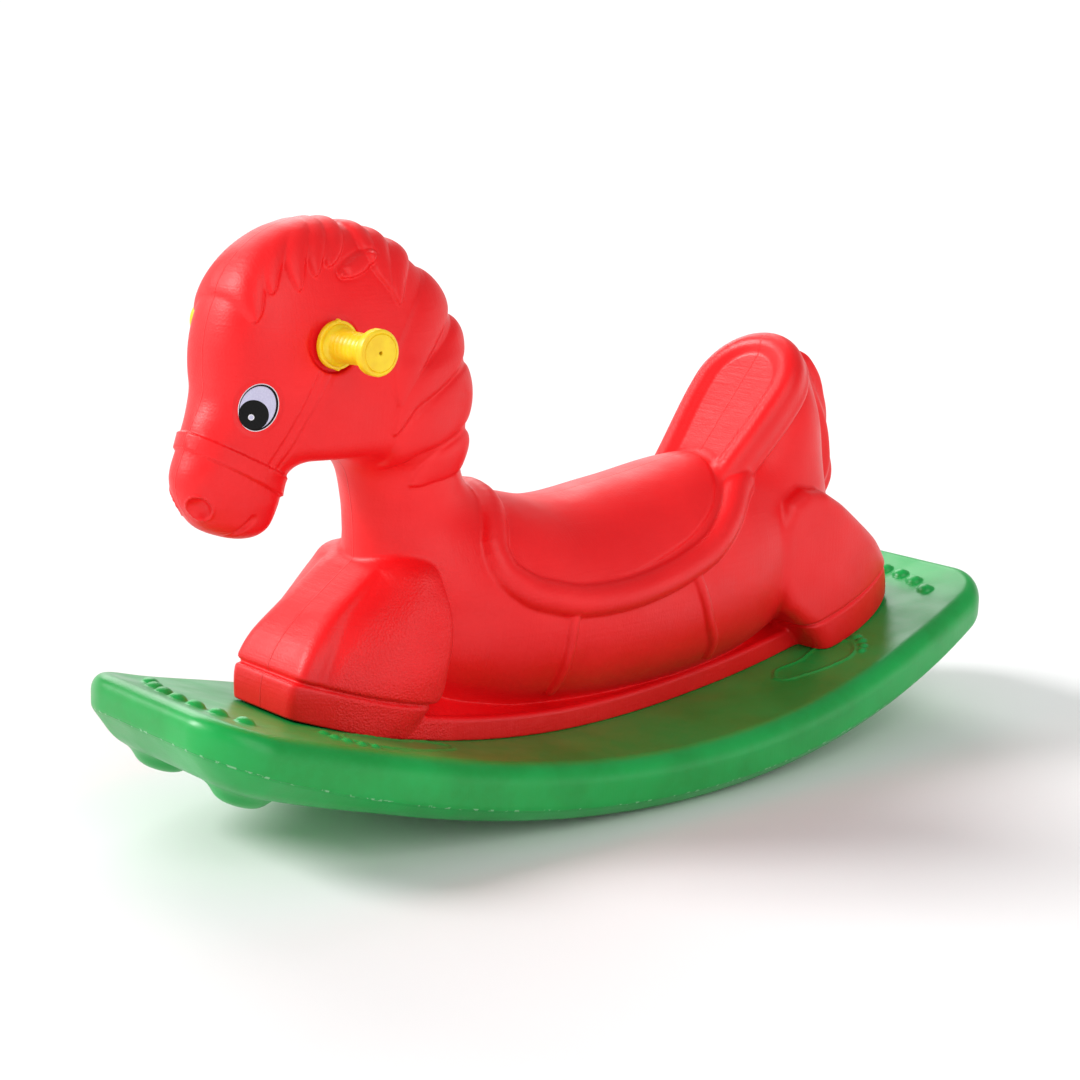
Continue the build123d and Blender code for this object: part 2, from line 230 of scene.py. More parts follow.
def tube(x, y, z, path, radius):
    """Round bar along a line of points; only worked out near the line."""
    path = np.asarray(path, float)
    far = 3.0 * radius
    low, high = path.min(0) - far, path.max(0) + far
    near = ((x > low[0]) & (x < high[0]) & (y > low[1]) & (y < high[1])
            & (z > low[2]) & (z < high[2]))
    px, py, pz = x[near], y[near], z[near]
    best = np.full(px.shape, (2 * far) ** 2)
    for a, b in zip(path[:-1], path[1:]):
        d = b - a
        t = ((px - a[0]) * d[0] + (py - a[1]) * d[1] + (pz - a[2]) * d[2]) / d.dot(d)
        t = np.clip(t, 0.0, 1.0)
        gap = ((px - a[0] - t * d[0]) ** 2 + (py - a[1] - t * d[1]) ** 2
               + (pz - a[2] - t * d[2]) ** 2)
        best = np.minimum(best, gap)
    out = np.full(x.shape, 2 * far)
    out[near] = np.sqrt(best) - radius
    return out


# --- Reliefs: flat maps of how far the skin is raised or sunk ---
def canvas(u_low, u_high, v_low, v_high, step):
    u = np.arange(u_low, u_high + step / 2, step)
    v = np.arange(v_low, v_high + step / 2, step)
    return np.meshgrid(u, v, indexing="ij")


def line_distance(u, v, points):
    """Distance to a line of points, and the share of the line passed at the nearest point."""
    points = np.asarray(points, float)
    length = np.concatenate([[0.0], np.cumsum(np.hypot(*np.diff(points, axis=0).T))])
    best = np.full(u.shape, 1e9)
    share = np.zeros(u.shape)
    for i, (a, b) in enumerate(zip(points[:-1], points[1:])):
        d = b - a
        t = np.clip(((u - a[0]) * d[0] + (v - a[1]) * d[1]) / d.dot(d), 0.0, 1.0)
        gap = np.hypot(u - a[0] - t * d[0], v - a[1] - t * d[1])
        closer = gap < best
        best = np.where(closer, gap, best)
        share = np.where(closer, (length[i] + t * (length[i + 1] - length[i])) / length[-1], share)
    return best, share


def outline_distance(u, v, points):
    """Signed distance to a closed outline, negative inside."""
    points = np.asarray(points, float)
    closed = np.vstack([points, points[:1]])
    gap, _ = line_distance(u, v, closed)
    inside = np.zeros(u.shape, bool)
    for a, b in zip(closed[:-1], closed[1:]):
        crosses = (a[1] > v) != (b[1] > v)
        rise = b[1] - a[1] if b[1] != a[1] else 1e-9
        inside ^= crosses & (u < (b[0] - a[0]) * (v - a[1]) / rise + a[0])
    return np.where(inside, -gap, gap)


def soften(values, passes):
    """Averages each cell with its neighbours, a few times."""
    for _ in range(passes):
        for axis in (0, 1):
            before = np.roll(values, 1, axis)
            after = np.roll(values, -1, axis)
            values = 0.25 * before + 0.5 * values + 0.25 * after
    return values


def sample(relief, u, v):
    """Reads a relief between its cells."""
    u_low, v_low, step, values = relief
    fu = np.clip((u - u_low) / step, 0, values.shape[0] - 1.001)
    fv = np.clip((v - v_low) / step, 0, values.shape[1] - 1.001)
    i, j = fu.astype(np.int32), fv.astype(np.int32)
    s, t = fu - i, fv - j
    low = values[i, j] * (1 - s) + values[i + 1, j] * s
    high = values[i, j + 1] * (1 - s) + values[i + 1, j + 1] * s
    return low * (1 - t) + high * t


def lock_relief(u, v, root_half, spine, height=4.2):
    """One lock of hair: a rounded ridge that narrows to a point."""
    line = smooth_line(spine, 14)
    gap, share = line_distance(u, v, line)
    half = root_half * np.sqrt(np.clip(1.03 - share**2.2, 0.0, 1.0)) + 0.3
    dome = np.sqrt(np.clip(1.0 - (gap / half) ** 2, 0.0, 1.0))
    return height * (1.0 - 0.35 * share) * dome


def head_relief():
    step = 0.6
    u, v = canvas(110, 400, 200, 460, step)
    relief = np.zeros(u.shape)
    for half, spine in LOCKS:
        relief = np.maximum(relief, lock_relief(u, v, half, spine))
    relief = relief + ear_relief(u, v) + cheek_strap_relief(u, v)
    return 110, 200, step, soften(relief, 2)


def ear_relief(u, v):
    """A small leaf that rises to the rear, hollow at its front end."""
    leaf = line_distance(u, v, smooth_line([(281, 413), (266, 418), (250, 426)], 8))
    half = 6.2 * np.sqrt(np.clip(1 - (2 * leaf[1] - 0.9) ** 2 / 1.3, 0.02, 1))
    dome = 2.6 * np.sqrt(np.clip(1 - (leaf[0] / half) ** 2, 0, 1))
    moat = -1.3 * np.exp(-((leaf[0] - half - 0.6) / 1.5) ** 2)
    hollow = -1.8 * np.exp(-(np.hypot(u - 279, v - 414) / 3.2) ** 2)
    return dome + moat + hollow


def cheek_strap_relief(u, v):
    """Two fine grooves, the edges of the strap from the handle down to the noseband."""
    front = line_distance(u, v, [(308, 347), (325, 313), (339, 281)])[0]
    rear = line_distance(u, v, [(299, 345), (318, 310), (331, 279)])[0]
    return -1.5 * np.exp(-(front / 1.5) ** 2) - 1.1 * np.exp(-(rear / 1.3) ** 2)


def trunk_relief():
    """Seat edge in the unrolled skin of the trunk: x along, arc length from the top around."""
    step = 0.8
    u, v = canvas(-140, 180, -20, 160, step)
    unroll = [(x, radians(turn) * UNROLL_RADIUS) for x, turn in SEAT_EDGE]
    edge = smooth_line(unroll, 60)
    both = np.vstack([edge, [(-116, -60), (114, -60)]])
    return -140, -20, step, outline_distance(u, v, both)


def leg_crease_relief():
    """Soft crease beside the fold between the front and the side of each front leg."""
    step = 1.0
    u, v = canvas(180, 330, 60, 230, step)
    line = smooth_line([(240, 192), (252, 180), (272, 160), (289, 138), (299, 116), (302, 84)], 40)
    return 180, 60, step, -2.0 * np.exp(-(line_distance(u, v, line)[0] / 4.2) ** 2)


def rear_leg_outline():
    step = 1.0
    u, v = canvas(-380, -130, 30, 250, step)
    return -380, 30, step, soften(outline_distance(u, v, REAR_LEG_SIDE), 6)


def around_trunk(points, sink, pieces=60):
    """Line on the trunk's skin, sunk a little, from (x, turn) points."""
    line = smooth_line([(x, turn) for x, turn in points], pieces)
    low, high, half = look_up(TABLES["trunk"], line[:, 0])
    turn = np.radians(line[:, 1])
    y = (half - sink) * np.sin(turn)
    z = (low + high) / 2 + ((high - low) / 2 - sink) * np.cos(turn)
    return np.column_stack([line[:, 0], y, z])


SHAPES = {"muzzle": MUZZLE, "neck": NECK, "rump": RUMP, "tail": TAIL, "trunk": TRUNK,
          "front_legs": FRONT_LEGS, "flange": FLANGE_HALF}
TABLES = {name: spline_table(rows) for name, rows in SHAPES.items()}
HEAD_RELIEF = head_relief()
SEAT_RELIEF = trunk_relief()
CREASE_RELIEF = leg_crease_relief()
REAR_OUTLINE = rear_leg_outline()


# --- The horse ---
def skull(x, y, z):
    lean = SKULL_LEAN * (z - SKULL_Z)
    ball = squarish_ball(x - SKULL_X - lean, y, z - SKULL_Z, *SKULL_RADII, SKULL_SQUARENESS)
    return smooth_max(ball, JAW_Z - z, 16)


def noseband(x, y, z):
    """How far the skin of the muzzle stands up as a band between two leaning planes."""
    upper = z - (304.0 + 0.50 * (x - 380.0)) + 0.05 * y
    lower = (293.0 + 0.53 * (x - 384.0)) - z - 0.05 * y
    return 2.2 * (1.0 - step_up(np.maximum(upper, lower) + 0.9, 1.8))


def muzzle(x, y, z):
    d = level_stack(x, y, z, TABLES["muzzle"], 10)
    chin_gap = tube(x, y, z, smooth_line([(361, 0, 224), (357, 12, 228), (351, 22, 236),
                                          (345, 28, 243)], 10), 2.4)
    d = smooth_max(d, -chin_gap, 3.0)
    nostril = np.sqrt((x - 384.0) ** 2 + (y - 17.0) ** 2 + (z - 251.0) ** 2) - 9.5
    rim = np.abs(nostril - 0.4) - 1.6
    d = smooth_min(d, np.maximum(rim, d - 1.2), 1.5)
    return smooth_max(d, -nostril, 3.0)


def head(x, y, z):
    in_front = step_up(x - BAR_X, 8.0)
    return smooth_min(skull(x, y, z), muzzle(x, y, z), 12) - noseband(x, y, z) * in_front


def eye_recess(x, y, z):
    """Shallow oval hollow behind each eye sticker."""
    across = EYE_FORWARD * (y - EYE_Y) - EYE_SIDEWAYS * (x - EYE_X)
    up = z - EYE_Z
    u = across * cos(EYE_SLANT) - up * sin(EYE_SLANT)
    v = across * sin(EYE_SLANT) + up * cos(EYE_SLANT)
    return 1.3 * (1.0 - step_up(np.hypot(u / 16.5, v / 20.0) - 0.86, 0.22)) * (y > 5)


def front_legs(x, y, z):
    """Leg above a grooved seam, hoof below it, both around one core."""
    r = np.hypot(x, z - ROCK_RADIUS)
    crease = sample(CREASE_RELIEF, x, z) * step_up(y - 28.0, 10.0)
    leg = leg_block(x, y, z, 0.0, 0.0) - crease
    hoof = leg_block(x, y, z, 2.4, -2.2)
    leg = smooth_max(leg, r - (FRONT_HOOF_SEAM - 1.0), 4.0)
    hoof = smooth_max(hoof, (FRONT_HOOF_SEAM + 1.0) - r, 4.0)
    core = leg_block(x, y, z, -2.2, -4.8)
    return smooth_min(smooth_min(leg, hoof, 1.2), core, 1.5)


def leg_block(x, y, z, grow_front, grow_side):
    """Front leg as level hexagons, its front and its sides moved out by the two growths."""
    rear, wide, front, rear_half, wide_half, front_half = look_up(TABLES["front_legs"], z)
    face = x - front - grow_front
    side = beside(x, y, wide, wide_half, front, front_half) - grow_side
    back_side = beside(x, y, rear, rear_half, wide, wide_half) - grow_side
    back = rear - x - grow_side
    d = smooth_max(face, side, 6)
    d = smooth_max(d, smooth_max(back_side, back, 16), 22)
    return smooth_max(d, z - TABLES["front_legs"][-1, 0], 18)


def rear_leg_block(x, y, z, grow):
    """Haunch and folded leg: a side outline, narrowing in plan towards the rear."""
    side = sample(REAR_OUTLINE, x, z) - grow
    back = np.clip((REAR_LEG_TAPER_X - x) / REAR_LEG_TAPER_LENGTH, 0.0, 0.999)
    front = np.clip((x + 190.0) / 90.0, 0.0, 1.0)
    half = REAR_LEG_HALF * np.sqrt(1 - back**2) - 6.0 * front**2
    slope = np.hypot(1, REAR_LEG_HALF / REAR_LEG_TAPER_LENGTH * back / np.sqrt(1 - back**2))
    return smooth_max(side, (y - half - grow) / slope, 15)


def rear_legs(x, y, z):
    """Leg and hoof with a groove between them, as on the front legs."""
    r = np.hypot(x, z - ROCK_RADIUS)
    seam = REAR_HOOF_SEAM + 0.045 * (x + 217.0)
    leg = smooth_max(rear_leg_block(x, y, z, 0.0), r - (seam - 0.9), 3.5)
    hoof = smooth_max(rear_leg_block(x, y, z, -1.4), (seam + 0.9) - r, 3.5)
    core = rear_leg_block(x, y, z, -3.6)
    return smooth_min(smooth_min(leg, hoof, 1.2), core, 1.5)


def flange(x, y, z):
    """Foot of the horse on the deck, with an apron that rises inwards, most at the front."""
    r = np.hypot(x, z - ROCK_RADIUS)
    half = look_up(TABLES["flange"], x)[0]
    rear_x, front_x = FLANGE_HALF[0][0], FLANGE_HALF[-1][0]
    sides = np.maximum(y - half, np.maximum(x - front_x, rear_x - x))
    inwards = np.clip(half - APRON_INSET - y, 0.0, APRON_WIDTH)
    apron = APRON_SLOPE * inwards * (0.25 + 0.75 * step_up(x - 95.0, 80.0))
    return round_corner(sides, DECK_RADIUS - FLANGE_THICKNESS - apron - r, 4.0)


def backrest(x, y, z):
    """Leaning slab with a round top and a raised rim."""
    sin_lean, cos_lean = sin(BACKREST_LEAN), cos(BACKREST_LEAN)
    u = -(x - BACKREST_FOOT_X) * sin_lean + (z - BACKREST_FOOT_Z) * cos_lean
    w = (x - BACKREST_FOOT_X) * cos_lean + (z - BACKREST_FOOT_Z) * sin_lean
    straight = BACKREST_LENGTH - BACKREST_HALF
    half = BACKREST_HALF - 10.0 * step_up(straight - u, 110.0)
    edge = np.where(u > straight, np.hypot(y, u - straight) - BACKREST_HALF, y - half)
    slab = round_corner(edge, np.abs(w + BACKREST_THICKNESS / 2) - BACKREST_THICKNESS / 2, 9.0)
    slab = smooth_max(slab, -u - 30.0, 6.0)
    rim = np.hypot(edge + 11.0, w + 7.0) - 12.5
    rim = smooth_max(rim, -u - 6.0, 8.0)
    return smooth_min(slab, rim, 3.5)


def seat(x, y, z, trunk):
    """Cushioned top of the saddle, slightly proud of the back."""
    low, high, half = look_up(TABLES["trunk"], x)
    turn = np.arctan2(y / half, (z - (low + high) / 2) / ((high - low) / 2))
    edge = sample(SEAT_RELIEF, x, turn * UNROLL_RADIUS)
    raised = 2.8 * step_up(70.0 - x, 100.0) - 0.6
    return smooth_max(trunk - raised, edge, 5.0)


def tail(x, y, z):
    strands = 1.5 * np.sin((y * 0.16 + (x + 250.0) * 0.30 + 6.0 * np.sin((z - 190.0) * 0.035)))
    wave = 5.0 * np.sin((z - 205.0) * 0.052)
    return level_stack(x + wave, y, z, TABLES["tail"], 8) - strands * step_up(-226.0 - x, 12.0)


def horse_field(x, y, z):
    """Distance to the skin of the horse, in millimetres."""
    y = np.abs(y)
    d_head = head(x, y, z) + eye_recess(x, y, z)
    neck = level_stack(x, y, z, TABLES["neck"], 8)
    d = smooth_min(d_head, neck, 22)
    d = d - sample(HEAD_RELIEF, x, z) * step_up(z - 214.0, 12.0) * step_up(x - 112.0, 4.0)
    trunk = trunk_stack(x, y, z, TABLES["trunk"], 20)
    back = smooth_min(trunk, level_stack(x, y, z, TABLES["rump"], 10), 20)
    d = smooth_min(d, back, 26)
    d = smooth_min(d, seat(x, y, z, trunk), 1.5)
    d = smooth_min(d, backrest(x, y, z), 5.0)
    d = smooth_min(d, tail(x, y, z), 6.0)
    d = smooth_min(d, tube(x, y, z, RIM_LINE, RIM_RADIUS), 2.4)
    for strap in GIRTH_LINES:
        d = smooth_min(d, tube(x, y, z, strap, STRAP_RADIUS), 1.6)
    d = smooth_min(d, flange(x, y, z), 3.0)
    d = smooth_min(d, front_legs(x, y, z), 4.0)
    d = smooth_min(d, rear_legs(x, y, z), 4.0)
    socket = np.hypot(x - BAR_X, z - BAR_Z)
    pocket = round_corner(socket - POCKET_RADIUS, POCKET_FLOOR_Y - y, 1.0)
    d = smooth_max(d, -pocket, 3.0)
    r = np.hypot(x, z - ROCK_RADIUS)
    return smooth_max(d, r - DECK_RADIUS, 1.5)


RIM_LINE = around_trunk(SADDLE_RIM, 3.0)
GIRTH_LINES = [around_trunk(points, 1.0, 24) for points in (GIRTH_FRONT, GIRTH_REAR)]


# --- The rocker ---
def rocker_plan(x, y):
    """Outline from above: bowed sides and straight ends."""
    sagitta = ROCKER_HALF_WIDTH - ROCKER_END_HALF
    bow = (ROCKER_HALF_LENGTH**2 + sagitta**2) / (2 * sagitta)
    side = np.hypot(x, y + bow - ROCKER_HALF_WIDTH) - bow
    return round_corner(side, np.abs(x) - ROCKER_HALF_LENGTH, ROCKER_CORNER)


def on_arc(x, z, place):
    """Along and above the bottom of the rocker, from a place given by its x there."""
    angle = asin(place / ROCK_RADIUS)
    along = x * cos(angle) + (z - ROCK_RADIUS) * sin(angle)
    above = -x * sin(angle) + (z - ROCK_RADIUS) * cos(angle) + ROCK_RADIUS
    return along, above


def rocker_field(x, y, z):
    """Distance to the skin of the rocker, in millimetres."""
    side_y = y
    y = np.abs(y)
    edge = rocker_plan(x, y)
    height = ROCK_RADIUS - np.hypot(x, z - ROCK_RADIUS)
    thickness = ROCK_RADIUS - DECK_RADIUS
    droop = END_DROOP * step_up(np.abs(x) - DROOP_START_X, DROOP_REACH)
    d = round_corner(edge, height - thickness + droop, ROCKER_TOP_EDGE)
    lean = atan2(PARTING_HEIGHT, BOTTOM_INSET)
    under = edge * sin(lean) + (PARTING_HEIGHT - height) * cos(lean)
    d = smooth_max(d, under, 2.0)
    d = smooth_max(d, -height - droop, 8.0)
    for end in (1, -1):
        along, above = on_arc(x, z, end * STOP_X)
        stop = ellipsoid(along, y - STOP_Y, above - 6.0, STOP_RADIUS, STOP_RADIUS, STOP_DROP + 6.0)
        stop = smooth_max(stop, -above - STOP_DROP + 1.0, 5.0)
        d = smooth_min(d, stop, 5.0)
        for step in range(BUMPS_EACH_SIDE + 1):
            bump_y = step * BUMP_PITCH
            deck_x = end * (BUMP_ROW_X[end] - BUMP_ROW_BOW * bump_y**2)
            sink = END_DROOP * step_up(abs(deck_x) - DROOP_START_X, DROOP_REACH)
            along, above = on_arc(x, z, deck_x * ROCK_RADIUS / DECK_RADIUS)
            bump = ellipsoid(along, y - bump_y, above - thickness + 1.0 + sink,
                             BUMP_RADIUS, BUMP_RADIUS, BUMP_HEIGHT)
            d = smooth_min(d, bump, 1.5)
    for place_x, place_y in SCREW_PLACES:
        along, above = on_arc(x, z, place_x)
        radial = np.hypot(along, y - place_y)
        radius = WELL_MOUTH_RADIUS - WELL_TAPER * np.clip((above + 5.0) / (WELL_DEPTH + 5.0), 0.0, 1.0)
        d = smooth_max(d, -np.maximum(radial - radius, above - WELL_DEPTH), 2.0)
    return d - deck_relief(x, side_y, height)


def footprint(u, v, toes, sole):
    """Raised outline of a sole with small round toes in front of it."""
    ridge = np.exp(-(np.abs(outline_distance(u, v, sole)) / 1.5) ** 2)
    shape = 1.5 * ridge
    for toe_x, toe_y, radius in toes:
        gap = np.hypot(u - toe_x, v - toe_y)
        shape = np.maximum(shape, 2.6 * np.sqrt(np.clip(1 - (gap / radius) ** 2, 0, 1)))
    return shape


def deck_map():
    """A pair of foot prints on the left of the deck, the front one the rear one turned round."""
    step = 0.8
    u, v = canvas(-330, 330, 40, 130, step)
    toes = [(-262, 59, 5.0), (-261, 70, 4.8), (-257, 79, 4.4), (-250, 87, 4.0), (-242, 92, 3.6)]
    sole = smooth_line([(-157, 71), (-170, 60), (-200, 61), (-224, 55), (-244, 57), (-251, 69),
                        (-243, 84), (-230, 91), (-207, 91), (-177, 85), (-160, 79), (-157, 71)], 60)
    rear = footprint(u, v, toes, sole)
    front_toes = [(47.0 - x, y + 8.0, radius) for x, y, radius in toes]
    front_sole = np.column_stack([47.0 - sole[:, 0], sole[:, 1] + 8.0])
    front = footprint(u, v, front_toes, front_sole)
    return -330, 40, step, soften(np.maximum(rear, front), 1)


DECK_MAP = deck_map()


def deck_relief(x, y, height):
    """How far the foot prints stand up, on the deck only."""
    inside = (np.abs(x) < 328.0) & (y > 42.0) & (y < 128.0)
    return sample(DECK_MAP, x, y) * step_up(height - 38.0, 6.0) * inside


# --- From distance fields to meshes ---
def in_parts(field, x, y, z, part=60000):
    """A field over many points, on every core."""
    def work(start):
        span = slice(start, start + part)
        return field(x[span], y[span], z[span])
    with ThreadPoolExecutor() as pool:
        done = list(pool.map(work, range(0, len(x), part)))
    return np.concatenate(done)


def sampled_half(field, low, high, step):
    """Field on a grid for y > 0, worked out finely only near the surface."""
    ratio = 4
    coarse = step * ratio
    count = [int(np.ceil((high[0] - low[0]) / coarse)), int(np.ceil(high[1] / coarse)),
             int(np.ceil((high[2] - low[2]) / coarse))]
    start = [low[0], 0.0, low[2]]
    middles = [start[k] + (np.arange(count[k]) + 0.5) * coarse for k in range(3)]
    grid = np.meshgrid(*middles, indexing="ij")
    rough = in_parts(field, *[g.ravel() for g in grid]).reshape(count)
    values = np.repeat(np.repeat(np.repeat(rough, ratio, 0), ratio, 1), ratio, 2)
    near = np.abs(values) < 1.35 * coarse
    cell = np.nonzero(near)
    points = [start[k] + (cell[k] + 0.5) * step for k in range(3)]
    values[near] = in_parts(field, *points)
    return values, start


def crossing_net(values, start, step):
    """Vertices and four-sided faces of the surface where the values pass zero."""
    inside = values < 0
    shape = np.array(values.shape)
    cells = shape - 1
    total = int(np.prod(cells))
    sums = np.zeros((3, total), np.float32)
    hits = np.zeros(total, np.int16)
    quads = []
    for axis in range(3):
        lower, upper = [slice(None)] * 3, [slice(None)] * 3
        lower[axis], upper[axis] = slice(0, -1), slice(1, None)
        a, b = values[tuple(lower)], values[tuple(upper)]
        at = np.array(np.nonzero(inside[tuple(lower)] != inside[tuple(upper)]))
        first, second = a[tuple(at)], b[tuple(at)]
        cross = at.astype(np.float32)
        cross[axis] += first / (first - second)
        one, two = [k for k in range(3) if k != axis]
        keep = (at[one] > 0) & (at[one] < cells[one]) & (at[two] > 0) & (at[two] < cells[two])
        at, cross, first = at[:, keep], cross[:, keep], first[keep]
        around = []
        for d_one, d_two in ((0, 0), (-1, 0), (-1, -1), (0, -1)):
            cell = at.copy()
            cell[one] += d_one
            cell[two] += d_two
            index = np.ravel_multi_index(cell, cells)
            around.append(index)
            hits += np.bincount(index, minlength=total).astype(np.int16)
            for k in range(3):
                sums[k] += np.bincount(index, cross[k], total)
        face = np.stack(around, 1)
        flip = (first < 0) == (axis == 1)
        face[flip] = face[flip][:, ::-1]
        quads.append(face)
    used = np.nonzero(hits)[0]
    number = np.full(total, -1)
    number[used] = np.arange(len(used))
    corner = (sums[:, used] / hits[used]).T
    corner = np.array(start) + (corner + 0.5) * step
    return corner, number[np.concatenate(quads)]


def slopes(field, points, reach=0.5):
    """Field and its gradient at points, from six readings around each."""
    columns = []
    for k in range(3):
        ahead, behind = points.copy(), points.copy()
        ahead[:, k] += reach
        behind[:, k] -= reach
        columns.append((in_parts(field, *ahead.T) - in_parts(field, *behind.T)) / (2 * reach))
    return np.stack(columns, 1)


def settle(field, points, rounds):
    """Moves points straight onto the surface."""
    for _ in range(rounds):
        slope = slopes(field, points)
        value = in_parts(field, *points.T)
        steep = np.maximum((slope**2).sum(1), 0.15)
        move = np.clip(value / steep, -1.5, 1.5)
        points = points - slope * move[:, None]
    return points


def even_out(points, quads, rounds):
    """Evens the spacing of vertices by moving each towards its neighbours."""
    for _ in range(rounds):
        total = np.zeros_like(points)
        count = np.zeros(len(points))
        for k in range(4):
            here, beside_it = quads[:, k], quads[:, (k + 1) % 4]
            for a, b in ((here, beside_it), (beside_it, here)):
                count += np.bincount(a, minlength=len(points))
                for axis in range(3):
                    total[:, axis] += np.bincount(a, points[b, axis], len(points))
        points = points + 0.5 * (total / count[:, None] - points)
    return points


def mesh_from(name, points, faces):
    """Mesh of triangles or four-sided faces, points in millimetres."""
    mesh = bpy.data.meshes.new(name)
    sides = faces.shape[1]
    mesh.vertices.add(len(points))
    mesh.vertices.foreach_set("co", (points * MM).astype(np.float32).ravel())
    mesh.loops.add(faces.size)
    mesh.loops.foreach_set("vertex_index", faces.astype(np.int32).ravel())
    mesh.polygons.add(len(faces))
    mesh.polygons.foreach_set("loop_start", np.arange(0, faces.size, sides, dtype=np.int32))
    mesh.update(calc_edges=True)
    mesh.validate()
    return mesh


def piece(name, mesh):
    obj = bpy.data.objects.new(name, mesh)
    bpy.context.scene.collection.objects.link(obj)
    return obj


def thin_out(obj, most_triangles):
    """Drops faces where the surface is flat until few enough triangles are left."""
    triangles = 2 * len(obj.data.polygons)
    if triangles <= most_triangles:
        return
    modifier = obj.modifiers.new("thin", "DECIMATE")
    modifier.ratio = most_triangles / triangles
    depsgraph = bpy.context.evaluated_depsgraph_get()
    mesh = bpy.data.meshes.new_from_object(obj.evaluated_get(depsgraph))
    obj.modifiers.clear()
    old = obj.data
    obj.data = mesh
    bpy.data.meshes.remove(old)


def skin(name, field, low, high, step, most_triangles):
    """Closed mesh of a field's surface, first netted for y > 0 and mirrored, then settled."""
    values, start = sampled_half(field, low, high, step)
    values = np.concatenate([values[:, ::-1], values], 1)
    start[1] = -step * values.shape[1] / 2
    points, quads = crossing_net(values, start, step)
    points = settle(field, points, 1)
    points = even_out(points, quads, 2)
    points = settle(field, points, 2)
    obj = piece(name, mesh_from(name, points, quads))
    thin_out(obj, most_triangles)
    finish_skin(obj, field)
    return obj


def finish_skin(obj, field):
    """Puts the vertices exactly on the field again, with its own normals."""
    mesh = obj.data
    co = np.empty(3 * len(mesh.vertices), np.float32)
    mesh.vertices.foreach_get("co", co)
    points = settle(field, co.reshape(-1, 3).astype(float) / MM, 1)
    mesh.vertices.foreach_set("co", (points * MM).astype(np.float32).ravel())
    mesh.polygons.foreach_set("use_smooth", np.ones(len(mesh.polygons), bool))
    normal = slopes(field, points, 0.7)
    normal /= np.maximum(np.linalg.norm(normal, axis=1), 1e-6)[:, None]
    mesh.normals_split_custom_set_from_vertices(normal.tolist())
    mesh.update()


# --- Handles and eye stickers ---
COLLAR_Y, COLLAR_TOP_Y, KNOB_Y, FACE_Y = 54.5, 59.5, 97.0, 105.0
COLLAR_RADIUS, GRIP_RADIUS, KNOB_RADIUS, HOLE_RADIUS = 17.0, 10.9, 16.2, 1.3
SPIGOT_RADIUS, SPIGOT_Y = 11.4, 40.0
RIBS = 7
TURNS = 144


def handle_profile():
    """Outline of a handle as (radius, y), from its inner end to the hole in its face."""
    points = [(0.0, SPIGOT_Y), (SPIGOT_RADIUS, SPIGOT_Y), (SPIGOT_RADIUS, COLLAR_Y)]
    points += soft_corner(COLLAR_RADIUS, COLLAR_Y, 0.6, -90)
    points += soft_corner(COLLAR_RADIUS, COLLAR_TOP_Y - 0.9, 1.2, 0)
    points += [(14.9, COLLAR_TOP_Y - 0.9), (14.5, COLLAR_TOP_Y - 1.3), (14.1, COLLAR_TOP_Y - 0.6)]
    points += [(13.6, COLLAR_TOP_Y + 0.5), (12.6, COLLAR_TOP_Y + 1.4), (11.9, COLLAR_TOP_Y + 3.0)]
    start, end = COLLAR_TOP_Y + 4.0, KNOB_Y - 3.0
    steps = RIBS * 8
    for i in range(steps + 1):
        share = i / steps
        swell = 0.9 * (1.0 - share) ** 2
        rib = 0.2 * max(0.0, cos(2 * pi * share * RIBS)) ** 0.6
        points.append((GRIP_RADIUS + swell + rib, start + share * (end - start)))
    points += [(11.8, KNOB_Y - 1.8), (13.2, KNOB_Y - 1.0)]
    points += [(14.4, KNOB_Y - 0.9), (14.9, KNOB_Y - 0.2)]
    points += soft_corner(KNOB_RADIUS, KNOB_Y + 0.3, 0.9, -90)
    points += soft_corner(KNOB_RADIUS, FACE_Y - 0.4, 1.8, 0)
    points += [(13.6, FACE_Y - 0.4), (13.3, FACE_Y - 0.9), (13.0, FACE_Y - 0.5)]
    points += [(12.6, FACE_Y), (HOLE_RADIUS + 0.4, FACE_Y), (HOLE_RADIUS, FACE_Y - 0.4)]
    points += [(HOLE_RADIUS, FACE_Y - 6.0), (0.0, FACE_Y - 6.0)]
    return points


def soft_corner(radius, y, round_off, start):
    """Quarter round of an outer corner, turning from start degrees."""
    points = []
    for step in range(5):
        turn = radians(start + 22.5 * step)
        inner = y + round_off if start < 0 else y - round_off
        points.append((radius - round_off + round_off * cos(turn), inner + round_off * sin(turn)))
    return points


def seam_height(radius, y):
    """How far the mould seam stands out of a handle."""
    if COLLAR_Y <= y <= COLLAR_TOP_Y and radius > 14.5:
        return 1.1
    return 0.22 if radius > HOLE_RADIUS + 1.0 else 0.0


def handle(name, side):
    """Turned handle with a thin mould seam above and below."""
    profile = np.array(handle_profile())
    angle = np.arange(TURNS) * 2 * pi / TURNS
    seam = np.exp(-((np.abs(np.sin(angle)) - 1.0) / 0.0016) ** 2)
    rows = []
    for radius, y in profile:
        around = radius + seam_height(radius, y) * seam
        rows.append(np.column_stack([BAR_X + around * np.cos(angle), np.full(TURNS, side * y),
                                     BAR_Z + around * np.sin(angle)]))
    points = np.concatenate(rows)
    step = np.arange(TURNS)
    after = (step + 1) % TURNS
    faces = []
    for row in range(len(profile) - 1):
        low, high = row * TURNS, (row + 1) * TURNS
        faces.append(np.column_stack([low + step, low + after, high + after, high + step]))
    faces = np.concatenate(faces)
    if side > 0:
        faces = faces[:, ::-1]
    obj = piece(name, mesh_from(name, points, faces))
    close_ends(obj)
    return obj


